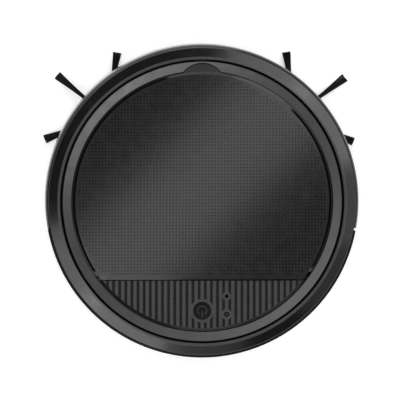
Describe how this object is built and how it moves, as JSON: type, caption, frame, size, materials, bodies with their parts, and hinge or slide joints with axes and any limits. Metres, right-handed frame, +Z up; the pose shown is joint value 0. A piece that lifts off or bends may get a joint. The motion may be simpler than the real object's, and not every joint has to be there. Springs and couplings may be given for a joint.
{
  "type": "robot vacuum",
  "caption": "Low round robot vacuum with a textured hinged lid, ribbed control strip, front bumper, side brushes, sprung drive wheels, swivel caster and dust bin.",
  "frame": {"origin": "on the floor, below the centre of the round body", "axes": "+Z up, +Y forwards towards the bumper and the side brushes, +X to the right seen from above with the front at the top"},
  "size_m": [0.28, 0.28, 0.076],
  "materials": {
    "gloss_shell": "satin-gloss black",
    "satin_trim": "satin black",
    "matte_base": "fine matte texture",
    "ir_window": "gloss, dark infrared-clear",
    "spring_steel": "bright wire",
    "switch_plastic": "matte",
    "ribbed_panel": "satin",
    "button": "satin, dished",
    "lens": "gloss dark lens",
    "lid_frame": "satin black",
    "lid_texture": "dimpled, satin",
    "steel_pins": "ground",
    "inner_plastic": "moulded",
    "smoke_bin": "smoked",
    "bin_cover": "moulded",
    "rubber": "matte",
    "filter_paper": "pleated",
    "fan_plastic": "moulded",
    "motor_steel": "drawn can",
    "battery_wrap": "shrink-wrapped cells",
    "pcb": "solder mask",
    "caster_nylon": "moulded",
    "motor_case": "moulded",
    "brush_hub": "moulded",
    "bristle": "fine nylon bristles",
    "contact_metal": "plated",
    "socket_plastic": "moulded",
    "rocker_plastic": "gloss",
    "pinion_brass": "machined",
    "gear_nylon": "nylon",
    "wheel_plastic": "moulded",
    "tyre": "ribbed rubber"
  },
  "bodies": {
    "chassis": {"top_shell": "gloss_shell", "trim_ring": "satin_trim", "bottom_shell": "matte_base", "rear_skirt": "matte_base", "bumper_springs": "spring_steel", "bumper_switches": "switch_plastic", "control_panel": "ribbed_panel", "button_spring": "spring_steel", "indicator_lenses": "lens", "inner_deck": "inner_plastic", "bin_bay": "inner_plastic", "dust_bin": "smoke_bin", "bin_cover": "bin_cover", "hepa_filter": "filter_paper", "suction_duct": "inner_plastic", "scraper_strip": "rubber", "fan_housing": "inner_plastic", "fan_motor": "motor_steel", "battery_pack": "battery_wrap", "battery_door": "matte_base", "circuit_board": "pcb", "caster_socket": "inner_plastic", "side_brush_motor_left": "motor_case", "side_brush_motor_right": "motor_case", "charging_contacts": "contact_metal", "dc_socket": "socket_plastic", "power_switch_body": "socket_plastic", "cliff_sensors": "ir_window", "base_screws": "steel_pins", "wheel_pivot_pins": "steel_pins", "wheel_arches": "inner_plastic", "suspension_spring_left": "spring_steel", "suspension_spring_right": "spring_steel"},
    "lid": {"lid": "lid_frame", "lid_panel": "lid_texture", "lid_hinge_pins": "steel_pins"},
    "bumper": {"bumper": "gloss_shell", "bumper_window": "ir_window"},
    "power_button": {"power_button": "button"},
    "power_switch_rocker": {"power_switch_rocker": "rocker_plastic"},
    "bin_flap": {"bin_flap": "rubber"},
    "fan_impeller": {"fan_impeller": "fan_plastic"},
    "caster_fork": {"caster_fork": "matte_base"},
    "caster_wheel": {"caster_wheel": "caster_nylon"},
    "side_brush_left": {"side_brush_hub_left": "brush_hub", "side_brush_bristles_left": "bristle"},
    "side_brush_right": {"side_brush_hub_right": "brush_hub", "side_brush_bristles_right": "bristle"},
    "wheel_arm_left": {"wheel_arm_left": "motor_case", "wheel_motor_left": "motor_steel"},
    "wheel_arm_right": {"wheel_arm_right": "motor_case", "wheel_motor_right": "motor_steel"},
    "drive_wheel_left": {"wheel_gear_left": "gear_nylon", "wheel_hub_left": "wheel_plastic", "tyre_left": "tyre"},
    "drive_wheel_right": {"wheel_gear_right": "gear_nylon", "wheel_hub_right": "wheel_plastic", "tyre_right": "tyre"},
    "motor_pinion_left": {"motor_pinion_left": "pinion_brass"},
    "motor_pinion_right": {"motor_pinion_right": "pinion_brass"}
  },
  "joints": [
    {"name": "lid_hinge", "type": "hinge", "parent": "chassis", "child": "lid", "pos_m": [0, -0.0682, 0.0712], "axis": [1, 0, 0], "range_deg": [0, 75]},
    {"name": "bumper_travel", "type": "slide", "parent": "chassis", "child": "bumper", "axis": [0, -1, 0], "range_m": [0, 0.0025], "stiffness_N_per_m": 400, "springref_m": -0.004, "deforming": ["bumper_springs"]},
    {"name": "power_button_press", "type": "slide", "parent": "chassis", "child": "power_button", "axis": [0, 0, -1], "range_m": [0, 0.0007], "stiffness_N_per_m": 400, "springref_m": -0.001, "deforming": ["button_spring"]},
    {"name": "power_switch_rock", "type": "hinge", "parent": "chassis", "child": "power_switch_rocker", "pos_m": [0.0944, -0.0944, 0.033], "axis": [0, 0, 1], "range_deg": [-14, 0]},
    {"name": "bin_flap_hinge", "type": "hinge", "parent": "chassis", "child": "bin_flap", "pos_m": [0, -0.0069, 0.0524], "axis": [-1, 0, 0], "range_deg": [0, 60], "stiffness_Nm_per_rad": 0.001, "springref_deg": -11.46},
    {"name": "fan_spin", "type": "hinge", "parent": "chassis", "child": "fan_impeller", "pos_m": [0, -0.086, 0.04], "axis": [0, 1, 0], "continuous": true},
    {"name": "caster_swivel", "type": "hinge", "parent": "chassis", "child": "caster_fork", "pos_m": [0, 0.101, 0.036], "axis": [0, 0, 1], "continuous": true},
    {"name": "caster_roll", "type": "hinge", "parent": "caster_fork", "child": "caster_wheel", "pos_m": [0, 0.096, 0.013], "axis": [1, 0, 0], "continuous": true},
    {"name": "side_brush_left_spin", "type": "hinge", "parent": "chassis", "child": "side_brush_left", "pos_m": [-0.084, 0.0745, 0.01], "axis": [0, 0, 1], "continuous": true},
    {"name": "side_brush_right_spin", "type": "hinge", "parent": "chassis", "child": "side_brush_right", "pos_m": [0.084, 0.0745, 0.01], "axis": [0, 0, 1], "continuous": true},
    {"name": "suspension_left", "type": "hinge", "parent": "chassis", "child": "wheel_arm_left", "pos_m": [-0.079, 0.042, 0.034], "axis": [1, 0, 0], "range_deg": [0, 12], "stiffness_Nm_per_rad": 0.25, "springref_deg": 22.92, "deforming": ["suspension_spring_left"]},
    {"name": "drive_wheel_left_spin", "type": "hinge", "parent": "wheel_arm_left", "child": "drive_wheel_left", "pos_m": [-0.1, -0.012, 0.029], "axis": [1, 0, 0], "continuous": true},
    {"name": "motor_pinion_left_spin", "type": "hinge", "parent": "wheel_arm_left", "child": "motor_pinion_left", "pos_m": [-0.077, 0.01055, 0.03721], "axis": [1, 0, 0], "continuous": true},
    {"name": "suspension_right", "type": "hinge", "parent": "chassis", "child": "wheel_arm_right", "pos_m": [0.079, 0.042, 0.034], "axis": [1, 0, 0], "range_deg": [0, 12], "stiffness_Nm_per_rad": 0.25, "springref_deg": 22.92, "deforming": ["suspension_spring_right"]},
    {"name": "drive_wheel_right_spin", "type": "hinge", "parent": "wheel_arm_right", "child": "drive_wheel_right", "pos_m": [0.1, -0.012, 0.029], "axis": [1, 0, 0], "continuous": true},
    {"name": "motor_pinion_right_spin", "type": "hinge", "parent": "wheel_arm_right", "child": "motor_pinion_right", "pos_m": [0.077, 0.01055, 0.03721], "axis": [1, 0, 0], "continuous": true}
  ],
  "couplings": [
    {"joint": "motor_pinion_left_spin", "follows": "drive_wheel_left_spin", "ratio": -4},
    {"joint": "motor_pinion_right_spin", "follows": "drive_wheel_right_spin", "ratio": -4}
  ]
}
